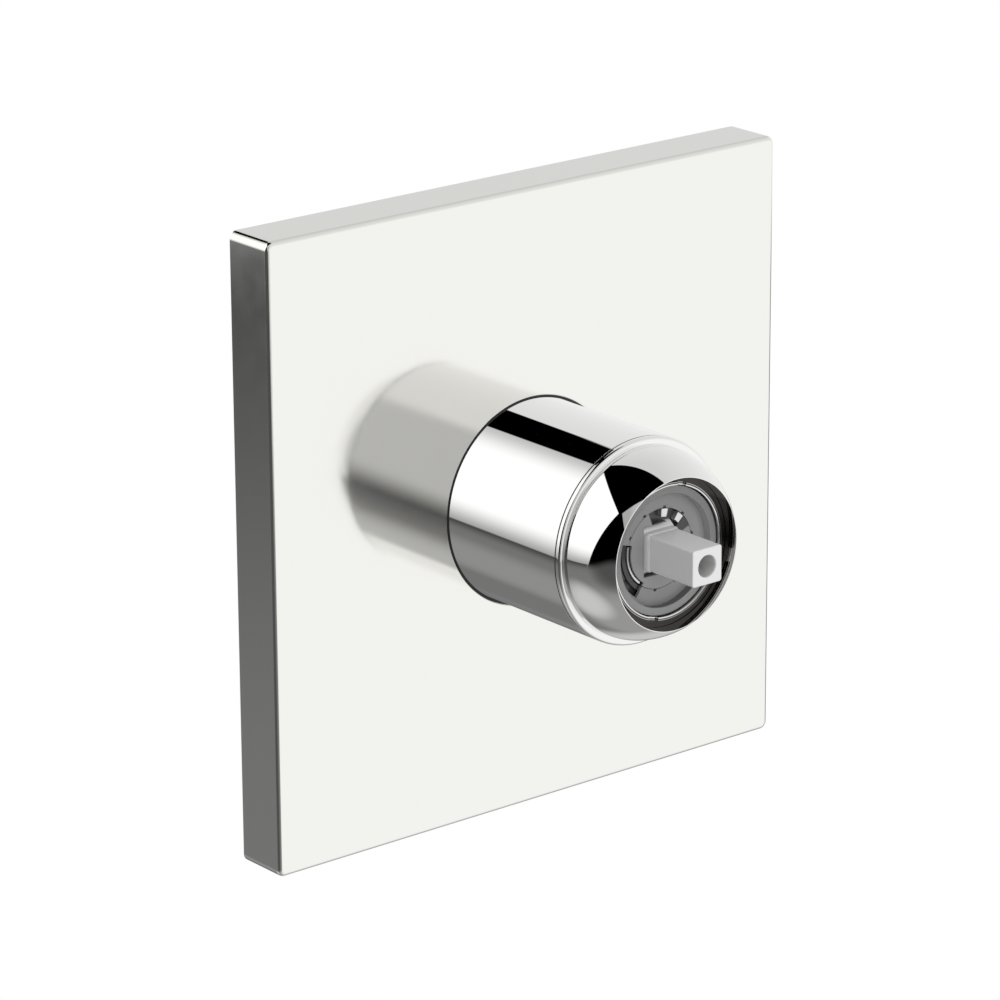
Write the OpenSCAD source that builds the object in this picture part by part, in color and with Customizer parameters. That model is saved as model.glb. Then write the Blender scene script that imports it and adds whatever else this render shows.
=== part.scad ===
// Concealed single-lever shower mixer: square escutcheon, sleeve, domed cap, square spindle,
// ceramic cartridge and the brass valve body that sits in the wall.
// Millimetres. The wall is the plane Y = 0, the control axis is the Y axis, up is +Z.

/* [Escutcheon] */
// Side of the square escutcheon
plate_side = 150; // [135:1:175]
// Depth of the escutcheon from the wall to its front face
plate_depth = 13.7; // [12.5:0.1:18]
// Thickness of the escutcheon's front
plate_face = 2.6; // [2:0.1:4]
// Thickness of the escutcheon's sides
plate_wall = 2.4; // [2:0.1:4]
// Radius of the four corners, seen from the front
corner_r = 2; // [2:0.1:6]
// Radius that breaks the front edge
edge_r = 1.2; // [0.4:0.05:1.5]
// Radius of the corners inside the escutcheon and of its gasket
inner_corner_r = 1; // [0.5:0.1:1.5]
// Thickness of the stiffening ribs behind the face
rib_t = 1.6; // [1.2:0.1:3]
// Number of ribs from the collar to the sides
rib_count = 8; // [4:4:12]
// Gap between the ribs and the plane of the gasket's front
rib_lift = 1.5; // [0.5:0.1:3]
// Wall of the collar round the sleeve
collar_wall = 3.4; // [2.6:0.1:6]
// Width of the gasket strip against the wall
gasket_w = 4; // [3:0.1:7]
// Thickness of the gasket strip
gasket_h = 3; // [2:0.1:6]
// Thickness of the wall inside the gasket's channel
channel_wall = 1.4; // [1:0.1:2]
// Width of the black seal behind the escutcheon's face
seal_w = 1.6; // [1.2:0.1:2.4]
// Width of the seal's lip, which shows round the sleeve
seal_lip_w = 0.5; // [0.4:0.05:1]
// How far that lip stands in front of the escutcheon
seal_proud = 0.15; // [0.1:0.05:1]
// How deep the seal sits in the escutcheon
seal_sunk = 4; // [3:0.1:6]
// Thickness of escutcheon that covers the seal
seal_cover = 1; // [0.8:0.1:1.5]

/* [Sleeve and cap] */
// Outer radius of the sleeve
sleeve_r = 24.5; // [24:0.1:27]
// Wall of the sleeve
sleeve_wall = 1.6; // [0.8:0.1:1.8]
// Length of sleeve in front of the escutcheon
sleeve_out = 37.5; // [34:0.5:60]
// How far the sleeve's rear end stands off the wall
sleeve_start = 3; // [2:0.5:6]
// How much the sleeve's rear end opens to pass over the rubber rings
lead_in = 0.6; // [0.3:0.1:0.8]
// Length of that opening
lead_in_len = 1.5; // [1:0.1:3]
// Length of the bright ring between sleeve and dome
trim_len = 1.3; // [1:0.1:2]
// How much the ring's rounded shoulder falls
trim_fall = 0.8; // [0.4:0.1:0.9]
// Dark joint between sleeve and ring
trim_gap = 0.35; // [0.2:0.05:0.6]
// Dark joint between ring and dome
dome_gap = 0.25; // [0.15:0.05:0.5]
// How far the dome's centre lies behind the sleeve's end
dome_tuck = 0.7; // [0:0.1:1]
// How much the dome's radius is smaller than the sleeve's
dome_step = 1.5; // [1.2:0.1:1.8]
// How much larger in radius the dome's round opening is than the cartridge
opening_gap = 0.1; // [0.05:0.05:0.6]
// Flat rim round that opening
lip_w = 0.4; // [0.15:0.05:0.6]
// Depth of the opening's straight wall
lip_depth = 3.6; // [3:0.1:3.8]
// Wall of the cap's threaded skirt
skirt_wall = 1.3; // [1:0.1:1.5]
// Length of skirt behind the dome
skirt_len = 7; // [5:0.5:10]
// Clearance between that skirt and the sleeve
skirt_gap = 0.25; // [0.15:0.05:0.4]

/* [Valve body] */
// Depth of the pipe axes behind the wall
port_depth = 25; // [23:0.5:45]
// Distance from the control axis to each port's face
port_reach = 38; // [36:0.5:50]
// Minor radius of the G 1/2 pipe threads
port_r = 9.3; // [7:0.1:9.6]
// Depth of the pipe threads
port_thread = 15; // [12:0.5:16]
// Half the width across the flats of each octagonal port
port_flat = 13; // [12.4:0.1:14]
// How much thinner the round pipe arms are than their octagonal ends
arm_step = 1; // [0.5:0.1:1.5]
// Length of those flats along the pipe
port_grip = 12; // [8:0.5:14]
// Radius of the drillings behind the threads
drill_r = 5.5; // [4.5:0.1:6]
// Radius of the three channels up to the cartridge
channel_r = 3.8; // [3:0.1:4]
// Radius of the body's block in the wall
block_r = 20; // [18.5:0.5:22]
// Depth of the body's back behind the pipe axes
block_back = 13.5; // [13:0.5:18]
// How far the flange that holds the sleeve reaches behind the wall
flange_back = 6; // [5:0.5:9]
// Length of the cone behind that flange
flange_cone = 3; // [2:0.5:5]
// Distance between the fixing lugs' holes
lug_pitch = 48; // [46:0.5:54]
// Radius of the holes in the fixing lugs
lug_hole_r = 2.6; // [2:0.1:3.2]
// Radius of the fixing lugs
lug_r = 5.6; // [5:0.1:7]
// Thickness of the fixing lugs
lug_t = 6; // [4:0.5:8]
// Thickness of the rib behind each lug
lug_web = 4; // [2:0.5:5]
// Height of that rib along the block
web_h = 14.4; // [10:0.2:18]
// Section radius of the sleeve's two rubber rings
ring_r = 1.2; // [1.1:0.05:1.3]
// Distance from the sleeve's rear end to the first of them
ring_inset = 6; // [5:0.5:9]
// Distance from the second of them to the cartridge's shoulder
ring_back = 9; // [6:0.5:12]
// Share of the snout's wall that the retaining nut's thread takes
thread_share = 0.4; // [0.3:0.05:0.5]

/* [Cartridge] */
// Outer radius of the cartridge
cart_r = 17.5; // [17.3:0.05:17.7]
// Height of the cartridge from its seat to its face
cart_h = 34.2; // [33:0.1:38]
// Width of the shoulder that the retaining nut presses on
shoulder_w = 2.25; // [2:0.05:2.6]
// Height of the neck
neck_h = 12.7; // [12:0.1:14]
// How far the cartridge's face lies behind the cap's opening
lid_sink = 5.85; // [5.5:0.05:7]
// How far the retaining nut stands in front of the cartridge's rim
nut_proud = 0.8; // [0.5:0.1:1.2]
// Clearance between the retaining nut and the neck
neck_gap = 0.15; // [0.1:0.05:0.3]
// Wall of the nut's thin rim
nut_rim_w = 0.8; // [0.6:0.1:1.4]
// Length of nut screwed into the body
nut_grip = 7; // [5:0.5:9]
// Number of key slots in the nut's rim
nut_slots = 4; // [4:1:8]
// Direction of the first of them, in degrees
nut_slot_turn = 75; // [0:5:90]
// Width of those slots
nut_slot_w = 2.6; // [2:0.1:4]
// Depth of those slots
nut_slot_depth = 0.6; // [0.5:0.1:1]
// Wall of the cartridge's shell
shell_wall = 1.5; // [1.2:0.1:1.8]
// Radius of the crater in the cartridge's face
crater_r = 9.5; // [9.2:0.1:10]
// Thickness of the limit ring on the cartridge's face
limit_t = 0.8; // [0.6:0.1:1.2]
// Width of the raised rim round the limit ring
rim_w = 1.9; // [1.5:0.1:2.2]
// Height of that rim
rim_h = 2; // [1:0.1:2.4]
// How far the limit ring's window reaches beyond the crater
window_reach = 2.9; // [2:0.1:3.2]
// Half angle of that window, in degrees
window_half = 36; // [25:1:40]
// Number of teeth inside the limit ring
tooth_count = 10; // [6:2:32]
// Direction of the first of them, in degrees
tooth_turn = 10; // [0:1:15]
// Width of the gaps between those teeth
tooth_w = 0.8; // [0.5:0.1:1]
// Depth of the gaps between those teeth
tooth_depth = 0.5; // [0.3:0.1:0.7]
// Thickness of the shell's roof under the limit ring
roof_t = 1; // [0.8:0.1:1.5]
// Wall of the base round the fixed ceramic disc
base_lip = 2; // [1.8:0.1:2.6]
// Thickness of the fixed ceramic disc
fixed_t = 3.7; // [3:0.1:4]
// How much the sliding ceramic disc is smaller in radius than the fixed one
disc_step = 2.5; // [2.4:0.1:3]
// Thickness of the sliding ceramic disc
moving_t = 4; // [3.5:0.1:4.5]
// Thickness of the shell's shoulder
step_t = 1.2; // [1:0.1:1.5]
// Thickness of the cartridge's base
base_t = 5.5; // [5:0.1:6.5]
// Thickness of the base's foot, which the shell stands on
base_foot = 2.3; // [2:0.1:3]
// Radius of the two pegs under the base
peg_r = 2.3; // [1.8:0.1:2.5]
// Length of those pegs
peg_h = 3.5; // [2.5:0.1:5]
// Width of the snap lugs that hold the shell on the base
snap_w = 6; // [4:0.1:8]
// Height of those lugs
snap_h = 2; // [1.5:0.1:2.5]
// How far those lugs reach into the shell's wall
snap_reach = 0.8; // [0.5:0.1:1.2]
// Width of the inlet slots in the fixed disc
inlet_slot_w = 3.2; // [2.5:0.1:3.8]
// Half angle of those slots, in degrees
inlet_slot_half = 26; // [20:1:30]
// Width of the outlet slot in the fixed disc
outlet_slot_w = 3.6; // [2.5:0.1:4]
// Half angle of that slot, in degrees
outlet_slot_half = 34; // [25:1:40]
// Wall of the rubber rings round the channels
seal_wall = 1.2; // [1:0.1:1.4]
// Thickness of the slider that carries the sliding disc
carrier_t = 2.6; // [2.2:0.1:3]
// Half the width of that slider
carrier_half = 8.4; // [7.5:0.1:8.6]
// Radius of the slider's socket for the driving ball
boss_r = 5.5; // [4.6:0.1:5.6]
// Width of the slider's two lugs
grip_w = 2.6; // [2:0.1:3]
// Turn of the spindle each way between hot and cold, in degrees
turn_half = 50; // [30:5:60]
// Direction of the turret's stop and of the window over it, in degrees
stop_turn = 200; // [190:5:210]
// Half angle of the turret's stop, in degrees
stop_half = 10; // [4:1:12]
// Width of that stop
stop_w = 1.6; // [1.2:0.1:1.8]
// Thickness of the turret's cover round the spindle
cover_t = 2; // [1.8:0.1:2.1]
// Width of the groove round the turret's cover, under the window
groove_w = 0.8; // [0.6:0.1:0.9]
// Height of the bright strip in that groove
strip_h = 1.2; // [0.8:0.1:1.5]
// Width of that strip
strip_w = 0.5; // [0.4:0.1:0.6]
// Depth of the well in the turret's cover
well_depth = 1.3; // [0.8:0.1:1.4]
// Distance from the control axis to the well's inner wall
well_in_r = 6.4; // [6.2:0.1:7]
// Direction of the well, in degrees
well_turn = 75; // [60:1:80]
// Half angle of the well, in degrees
well_half = 34; // [25:1:36]
// Length of the bright lugs in the well
clip_w = 1.9; // [1.2:0.1:2.2]
// Half angle of those lugs, in degrees
clip_half = 6; // [3:1:8]
// Angle between the first of them and the well's end, in degrees
clip_margin = 1; // [1:1:8]

/* [Spindle] */
// Side of the square spindle
stem_side = 8.6; // [7:0.1:9.2]
// How far the spindle stands out of the cap's opening
stem_proud = 10.3; // [8:0.1:25]
// Radius of the hole in the spindle's end
tip_hole_r = 2.85; // [2:0.05:3.1]
// Depth of the hole in the spindle's end
tip_hole_depth = 9; // [6:0.5:12]
// Side of the square collar at the spindle's foot
foot_side = 9.2; // [9:0.1:9.4]
// How far that collar stands in front of the turret's cover
foot_rise = 1.2; // [0.6:0.1:2]
// Bevel of the collar's corners
foot_bevel = 0.5; // [0.4:0.1:0.8]
// Bevel of the spindle's corners
stem_bevel = 0.35; // [0.2:0.05:0.5]
// Radius of the ball joint under that collar
hub_r = 8.2; // [7.8:0.1:8.3]
// Height of the ball joint's flat top above the tilting axis
hub_high = 1.2; // [1:0.1:1.4]
// Depth of the ball joint's flat underside below the tilting axis
hub_low = 4.5; // [4:0.1:5]
// Depth of the tilting axis below the cartridge's face
pivot_sink = 5.35; // [5.2:0.05:6]
// Length from the tilting axis down to the driving ball
arm_len = 12; // [11.5:0.1:12.5]
// Radius of the driving ball
ball_r = 3; // [2.6:0.1:3.2]
// Radius of the arm down to the driving ball
shank_r = 2.2; // [1.8:0.1:2.4]
// Radius of the tilting pin
pin_r = 1.5; // [1.2:0.1:1.8]
// How far the pin's ends lie inside the turret
pin_inset = 0.8; // [0.5:0.1:1.5]
// Tilt of the spindle each way from its middle, in degrees
tilt_half = 12.5; // [10:0.5:12.5]

/* [Fits] */
// Radial clearance of a part that turns or slides
run_gap = 0.1; // [0.05:0.01:0.15]
// Radial clearance of a threaded or pressed pair
fix_gap = 0.05; // [0.02:0.01:0.08]
// Clearance round the sleeve where it passes the escutcheon
pass_gap = 0.4; // [0.3:0.05:0.8]

/* [Hidden] */
$fn = 96;
cut = 1;

// Radii round the control axis
chamber_r = cart_r + run_gap;
neck_r = cart_r - shoulder_w;
nut_bore_r = neck_r + neck_gap;
nut_rim_r = nut_bore_r + nut_rim_w;
opening_r = cart_r + opening_gap;
sleeve_in = sleeve_r - sleeve_wall;
skirt_out = sleeve_in - skirt_gap;
skirt_in = skirt_out - skirt_wall;
snout_r = skirt_in - fix_gap;
thread_r = chamber_r + thread_share * (snout_r - chamber_r);
nut_r = thread_r - fix_gap;
cap_bore_r = thread_r + opening_gap;
dome_r = sleeve_r - dome_step;
plate_bore_r = sleeve_r + pass_gap;
seal_in = sleeve_r + fix_gap;
seal_out = seal_in + seal_w;
seal_lip_r = seal_in + seal_lip_w;

// Stations along the control axis, measured out from the wall
sleeve_end = plate_depth + sleeve_out;
trim_start = sleeve_end + trim_gap;
trim_end = trim_start + trim_len;
dome_start = trim_end + dome_gap;
dome_centre = sleeve_end - dome_tuck;
skirt_start = dome_start - skirt_len;
opening_z = dome_centre + sqrt(pow(dome_r, 2) - pow(opening_r + lip_w, 2));
lip_back = opening_z - lip_depth;
lid_z = opening_z - lid_sink;
rim_top = lid_z + rim_h;
nut_top = rim_top + nut_proud;
nut_flange_top = lip_back - opening_gap;
seat_z = lid_z - cart_h;
shoulder_z = lid_z - neck_h;
snout_end = shoulder_z + nut_grip;
pivot_z = lid_z - pivot_sink;
ball_z = pivot_z - arm_len;
tip_z = opening_z + stem_proud;

// Rear side of the escutcheon
hollow_depth = plate_depth - plate_face;
collar_r = seal_out + collar_wall;
channel_side = plate_side - 2 * (plate_wall + gasket_w);
channel_start = gasket_h / 4;
rib_start = gasket_h + rib_lift;
rib_span = channel_side - channel_wall;

// Valve body
back_z = -port_depth - block_back;
flange_r = sleeve_r - run_gap;
ring_mid_r = sleeve_in - fix_gap - ring_r;
ring_groove_r = ring_mid_r - ring_r - fix_gap;
ring_groove_w = 2 * ring_r + 4 * run_gap;
ring_places = [sleeve_start + ring_inset, shoulder_z - ring_back];
pipe_r = port_flat - arm_step;
thread_runout = 0.8;
octagon_turn = 22.5;
lug_corner = lug_pitch / 2;
lug_reach = lug_pitch / sqrt(2);
lug_bar_gap = 0.6;
lug_bar_end = lug_reach - lug_hole_r - lug_bar_gap;
lug_bar_w = 1.6 * lug_r;

// Shell and base of the cartridge
base_r = cart_r - 3 * run_gap;
shell_in = cart_r - shell_wall;
shell_start = seat_z + base_foot + 2 * run_gap;
cup_r = shell_in - run_gap;
base_top = seat_z + base_t;
snap_z = seat_z + base_foot + 2 * run_gap + 1.35 * snap_h;
neck_in = neck_r - shell_wall;
step_z = shoulder_z - step_t;
peg_edge = 1;
peg_mid_r = base_r - peg_r - peg_edge;
peg_play = 0.5;
peg_places = [for (a = [30, 150]) peg_mid_r * [cos(a), sin(a)]];

// Ceramic discs, their ports and seals
fixed_r = shell_in - base_lip;
moving_r = fixed_r - disc_step;
disc_edge = 1.4;
channel_mid_r = fixed_r - channel_r - disc_edge;
channel_angles = [210, 330, 90];
channel_places = [for (a = channel_angles) channel_mid_r * [cos(a), sin(a)]];
port_turns = [180, 0, 90];
drill_ends = [for (i = [0:2]) channel_mid_r * cos(channel_angles[i] - port_turns[i]) - channel_r / 3];
seal_port_r = channel_r + run_gap;
seal_edge_r = seal_port_r + seal_wall;
disc_seal_t = 0.9;
disc_seal_sunk = 0.4;
base_seal_t = 1.5;
fixed_z = base_top + disc_seal_t - disc_seal_sunk;
moving_z = fixed_z + fixed_t;
carrier_z = moving_z + moving_t;
slot_shift = 0.8;
slot_mid_r = channel_mid_r - slot_shift;
key_w = 4;
key_depth = 1.5;
key_h = 0.7 * fixed_t;
pocket_r = 3;
pocket_turn = 18;
pocket_mid = (moving_r - pocket_r - disc_edge) * [cos(pocket_turn), -sin(pocket_turn)];
pocket_out_r = 5;
pocket_out_y = moving_r - pocket_out_r - 2 * disc_edge;

// Slider and turret
slide_room = arm_len * tilt_half * PI / 180 + run_gap;
grip_inset = 1.1;
grip_mid = moving_r - grip_inset;
grip_t = 1.6;
grip_h = 3;
boss_top = ball_z + ball_r / 2;
guide_half = carrier_half + run_gap;
guide_play = 0.6;
guide_top = carrier_z + carrier_t + guide_play;
turret_z = carrier_z + 3 * run_gap;
turret_r = neck_in - run_gap;
turret_foot_r = shell_in - 3 * run_gap;
turret_top = lid_z - limit_t - roof_t;
turret_bore_r = hub_r + 2 * run_gap;
roof_z = turret_top + run_gap;
crater_bore_r = crater_r + run_gap;
cover_z = lid_z - cover_t;
cover_r = crater_r - run_gap;
groove_r = cover_r - groove_w;
strip_mid_r = groove_r + groove_w / 2;
well_z = lid_z - well_depth;
clip_mid_r = cover_r - run_gap - clip_w / 2;
clip_turns = [well_turn - well_half + clip_half + clip_margin, well_turn + clip_half];
foot_play = 0.15;
foot_slot_half = pivot_sink * tan(tilt_half) + foot_side / 2 / cos(tilt_half) + foot_play;
foot_slot_w = foot_side + 2 * foot_play;
stop_mid_r = (crater_bore_r + neck_in) / 2;
stop_h = roof_t - 2 * run_gap;
stop_play = 1;
pin_half = turret_r - pin_inset;

// Turns a piece drawn along +Z so that it points out of the wall
module stand() {
    rotate([90, 0, 0]) children();
}

// A plain cylinder between two stations
module rod(r, from, to) {
    translate([0, 0, from]) cylinder(r = r, h = to - from);
}

// A cylinder with a bore, between two stations
module tube(r_out, r_in, from, to) {
    difference() {
        rod(r_out, from, to);
        rod(r_in, from - cut, to + cut);
    }
}

// A square outline with four round corners
module rounded_square(side, r) {
    square([side, side - 2 * r], center = true);
    square([side - 2 * r, side], center = true);
    for (x = [-1, 1], y = [-1, 1])
        translate([x * (side / 2 - r), y * (side / 2 - r)]) circle(r = r);
}

// A square outline with its corners cut off
module bevelled_square(side, bevel) {
    a = side / 2;
    b = a - bevel;
    polygon([[a, -b], [a, b], [b, a], [-b, a], [-a, b], [-a, -b], [-b, -a], [b, -a]]);
}

// A curved slot centred on the angle mid
module kidney(r, width, mid, half_angle, height) {
    rotate([0, 0, mid - half_angle]) rotate_extrude(angle = 2 * half_angle)
        translate([r - width / 2, 0]) square([width, height]);
}

// What is cut away to round an edge: a square less a quarter circle
module edge_profile() {
    difference() {
        square(edge_r + cut);
        circle(r = edge_r);
    }
}

// The escutcheon's outside, its front edge rounded all the way round
module plate_block() {
    inset = plate_side / 2 - corner_r;
    difference() {
        linear_extrude(plate_depth) rounded_square(plate_side, corner_r);
        for (turn = [0:90:270]) rotate([0, 0, turn]) {
            translate([plate_side / 2 - edge_r, 0, plate_depth - edge_r]) rotate([90, 0, 0])
                linear_extrude(2 * inset, center = true) edge_profile();
            translate([inset, inset, plate_depth - edge_r])
                rotate_extrude(angle = 90) translate([corner_r - edge_r, 0]) edge_profile();
        }
    }
}

module escutcheon() {
    color("gainsboro") stand() difference() {
        union() {
            difference() {
                plate_block();
                translate([0, 0, -cut]) linear_extrude(hollow_depth + cut)
                    rounded_square(plate_side - 2 * plate_wall, inner_corner_r);
            }
            // inner wall of the gasket's channel
            translate([0, 0, channel_start]) linear_extrude(hollow_depth) difference() {
                rounded_square(channel_side, inner_corner_r);
                rounded_square(channel_side - 2 * channel_wall, inner_corner_r);
            }
            rod(collar_r, sleeve_start - cut, plate_depth - plate_face / 2);
            for (i = [0:rib_count - 1]) escutcheon_rib((i + 0.5) * 360 / rib_count);
        }
        rod(plate_bore_r, -cut, plate_depth + cut);
        rod(seal_out + fix_gap, plate_depth - seal_sunk, plate_depth - seal_cover);
        rod(seal_lip_r + fix_gap, plate_depth - seal_sunk, plate_depth + cut);
    }
}

// One stiffening rib, from the collar to the channel's wall
module escutcheon_rib(angle) {
    intersection() {
        rotate([0, 0, angle]) translate([0, -rib_t / 2, rib_start])
            cube([plate_side, rib_t, hollow_depth - rib_start + plate_face / 2]);
        translate([0, 0, rib_start]) linear_extrude(hollow_depth) square(rib_span, center = true);
    }
}

module escutcheon_gasket() {
    color("dimgray") stand() linear_extrude(gasket_h) difference() {
        rounded_square(channel_side + 2 * (gasket_w - fix_gap), inner_corner_r);
        rounded_square(channel_side + 2 * fix_gap, inner_corner_r);
    }
}

// The black seal round the sleeve: a ring behind the face, with a thin lip that shows in front of it
module sleeve_seal() {
    round_r = seal_lip_w / 2;
    color([0.08, 0.08, 0.08]) stand() rotate_extrude() {
        translate([seal_in, plate_depth - seal_sunk])
            square([seal_w, seal_sunk - seal_cover - fix_gap]);
        translate([seal_in, plate_depth - seal_sunk])
            square([seal_lip_w, seal_sunk + seal_proud - round_r]);
        translate([seal_in + round_r, plate_depth + seal_proud - round_r]) circle(r = round_r);
    }
}

module sleeve() {
    slope = lead_in / lead_in_len;
    color("silver") stand() difference() {
        tube(sleeve_r, sleeve_in, sleeve_start, sleeve_end);
        translate([0, 0, sleeve_start - cut])
            cylinder(r1 = sleeve_in + lead_in + slope * cut, r2 = sleeve_in, h = lead_in_len + cut);
    }
}

module sleeve_rings() {
    color([0.1, 0.1, 0.1]) stand() for (z = ring_places)
        translate([0, 0, z]) rotate_extrude() translate([ring_mid_r, 0]) circle(r = ring_r);
}

// The bright ring in front of the sleeve, with a rounded shoulder
module trim_ring() {
    color("whitesmoke") stand() difference() {
        union() {
            rod(sleeve_r, trim_start, trim_end - trim_fall);
            rod(sleeve_r - trim_fall, trim_start, trim_end);
            translate([0, 0, trim_end - trim_fall]) rotate_extrude()
                translate([sleeve_r - trim_fall, 0]) circle(r = trim_fall);
        }
        rod(skirt_out + run_gap, trim_start - cut, trim_end + cut);
        rod(sleeve_r + cut, trim_start - trim_fall - cut, trim_start);
    }
}

module dome_cap() {
    color("silver") stand() difference() {
        union() {
            intersection() {
                translate([0, 0, dome_centre]) sphere(r = dome_r);
                rod(dome_r + cut, dome_start, opening_z);
            }
            rod(skirt_out, skirt_start, dome_start + lip_w);
        }
        rod(skirt_in, skirt_start - cut, snout_end);
        rod(cap_bore_r, skirt_start - cut, lip_back);
        rod(opening_r, skirt_start - cut, opening_z + cut);
    }
}

module cartridge_nut() {
    slot_out = nut_rim_r - nut_bore_r + 2 * cut;
    color("peru") stand() difference() {
        union() {
            tube(nut_r, nut_bore_r, shoulder_z, nut_flange_top);
            tube(nut_rim_r, nut_bore_r, shoulder_z, nut_top);
        }
        // slots for the key that tightens it
        for (i = [0:nut_slots - 1]) rotate([0, 0, nut_slot_turn + i * 360 / nut_slots])
            translate([nut_bore_r - cut, -nut_slot_w / 2, nut_top - nut_slot_depth])
                cube([slot_out, nut_slot_w, nut_slot_depth + cut]);
    }
}

// Places something on a pipe arm, with +Z pointing along the pipe
module on_port(turn) {
    rotate([0, 0, turn]) translate([0, 0, -port_depth]) rotate([0, 90, 0]) children();
}

// Places something on each of the four fixing lugs
module on_each_lug() {
    for (x = [-1, 1], y = [-1, 1]) translate([x * lug_corner, y * lug_corner, 0]) children();
}

// Places something on each of the three channels up to the cartridge
module on_each_channel() {
    for (p = channel_places) translate([p[0], p[1], 0]) children();
}

// Places something on each of the two pegs
module on_each_peg() {
    for (p = peg_places) translate([p[0], p[1], 0]) children();
}

// A fixing lug's bar, and the rib that props it against the block
module lug_bar() {
    inner = block_r / 2;
    translate([inner, -lug_bar_w / 2, back_z]) cube([lug_bar_end - inner, lug_bar_w, lug_t]);
    translate([0, lug_web / 2, 0]) rotate([90, 0, 0]) linear_extrude(lug_web) polygon([
        [inner, back_z + lug_t - cut], [lug_reach - lug_r, back_z + lug_t - cut],
        [block_r - cut, back_z + web_h], [inner, back_z + web_h]]);
}

// The outside of the brass body: block, three pipe arms, lugs and the long snout
module body_outside() {
    rod(block_r, back_z, -flange_back);
    translate([0, 0, -flange_back - flange_cone]) cylinder(r1 = block_r, r2 = flange_r, h = flange_cone);
    rod(flange_r, -flange_back, sleeve_start);
    rod(snout_r, sleeve_start, snout_end);
    for (turn = port_turns) on_port(turn) {
        cylinder(r = pipe_r, h = port_reach - port_grip / 2);
        rotate([0, 0, octagon_turn]) translate([0, 0, port_reach - port_grip])
            cylinder(r = port_flat / cos(octagon_turn), h = port_grip, $fn = 8);
    }
    on_each_lug() translate([0, 0, back_z]) cylinder(r = lug_r, h = lug_t);
    for (turn = [45:90:315]) rotate([0, 0, turn]) lug_bar();
}

module valve_body() {
    color("darkgoldenrod") stand() difference() {
        body_outside();
        rod(chamber_r, seat_z, snout_end + cut);
        rod(thread_r, shoulder_z - thread_runout, snout_end + cut);
        for (z = ring_places)
            tube(snout_r + cut, ring_groove_r, z - ring_groove_w / 2, z + ring_groove_w / 2);
        // pipe threads, and the drillings behind them, which stop at the channels
        for (i = [0:2]) on_port(port_turns[i]) {
            rod(port_r, port_reach - port_thread, port_reach + cut);
            rod(drill_r, drill_ends[i], port_reach);
        }
        // channels from the drillings up to the cartridge's seat
        on_each_channel() rod(channel_r, -port_depth, seat_z + cut);
        on_each_peg() rod(peg_r + run_gap, seat_z - peg_h - peg_play, seat_z + cut);
        on_each_lug() rod(lug_hole_r, back_z - cut, -flange_back);
    }
}

// The cartridge's plastic shell: wide below, a neck above, and a roof with a crater
module cartridge_housing() {
    color("gray") stand() difference() {
        union() {
            rod(cart_r, shell_start, shoulder_z);
            rod(neck_r, shoulder_z, lid_z - limit_t);
        }
        rod(shell_in, shell_start - cut, step_z);
        rod(neck_in, step_z - cut, roof_z);
        rod(crater_bore_r, roof_z - cut, lid_z + cut);
        // window for the turret's stop
        translate([0, 0, roof_z - cut])
            kidney(stop_mid_r, stop_w + 4 * run_gap, stop_turn, turn_half + stop_half + stop_play,
                roof_t + cut);
        // windows for the base's two snap lugs
        for (side = [-1, 1]) translate([side * cart_r, 0, snap_z])
            cube([4 * shell_wall, snap_w + 4 * run_gap, snap_h + 4 * run_gap], center = true);
    }
}

// The grey ring on the cartridge's face: a raised rim, and a window over the turret's stop
module limit_ring() {
    outer_r = neck_r - run_gap;
    color("darkgray") stand() difference() {
        union() {
            tube(outer_r, crater_r, lid_z - limit_t, lid_z);
            tube(outer_r, neck_r - rim_w, lid_z - limit_t, rim_top);
        }
        translate([0, 0, lid_z - limit_t - cut])
            kidney(crater_r + (window_reach - cut) / 2, window_reach + cut, stop_turn, window_half,
                limit_t + 2 * cut);
        for (i = [0:tooth_count - 1]) rotate([0, 0, tooth_turn + i * 360 / tooth_count])
            translate([crater_r - tooth_depth, -tooth_w / 2, lid_z - limit_t - cut])
                cube([2 * tooth_depth, tooth_w, limit_t + 2 * cut]);
    }
}

// The guide that turns with the spindle, carries its pin and drives the ceramic disc
module turret() {
    color("whitesmoke") stand() difference() {
        union() {
            rod(turret_foot_r, turret_z, step_z - run_gap);
            rod(turret_r, turret_z, turret_top);
            rod(cover_r, turret_z, lid_z);
            translate([0, 0, turret_top - stop_h / 2])
                kidney(stop_mid_r, stop_w, stop_turn, stop_half, 1.5 * stop_h);
        }
        // guide slot for the slider
        intersection() {
            rod(moving_r + slide_room, turret_z - cut, guide_top);
            translate([-guide_half, -turret_r - cut, turret_z - cut])
                cube([2 * guide_half, 2 * (turret_r + cut), guide_top - turret_z + 2 * cut]);
        }
        rod(turret_bore_r, turret_z - cut, cover_z);
        // slot in the cover for the spindle's tilt
        translate([-foot_slot_w / 2, -foot_slot_half, cover_z - cut])
            cube([foot_slot_w, 2 * foot_slot_half, cover_t + 2 * cut]);
        // groove under the limit ring's window, and the well beside the spindle
        translate([0, 0, turret_top])
            kidney(groove_r + (groove_w + cut) / 2, groove_w + cut, stop_turn, window_half, cover_t);
        translate([0, 0, well_z])
            kidney((well_in_r + cover_r + cut) / 2, cover_r + cut - well_in_r, well_turn, well_half,
                cover_t);
        translate([0, 0, pivot_z]) rotate([0, 90, 0])
            cylinder(r = pin_r, h = 2 * (turret_r + cut), center = true);
    }
}

// The bright parts in the crater: a strip in the turret's groove and two lugs in its well
module turret_ring() {
    color("lightgray") stand() {
        translate([0, 0, turret_top])
            kidney(strip_mid_r, strip_w, stop_turn, window_half - clip_half / 2, strip_h);
        for (turn = clip_turns) translate([0, 0, well_z])
            kidney(clip_mid_r, clip_w, turn, clip_half, well_depth - fix_gap);
    }
}

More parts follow.
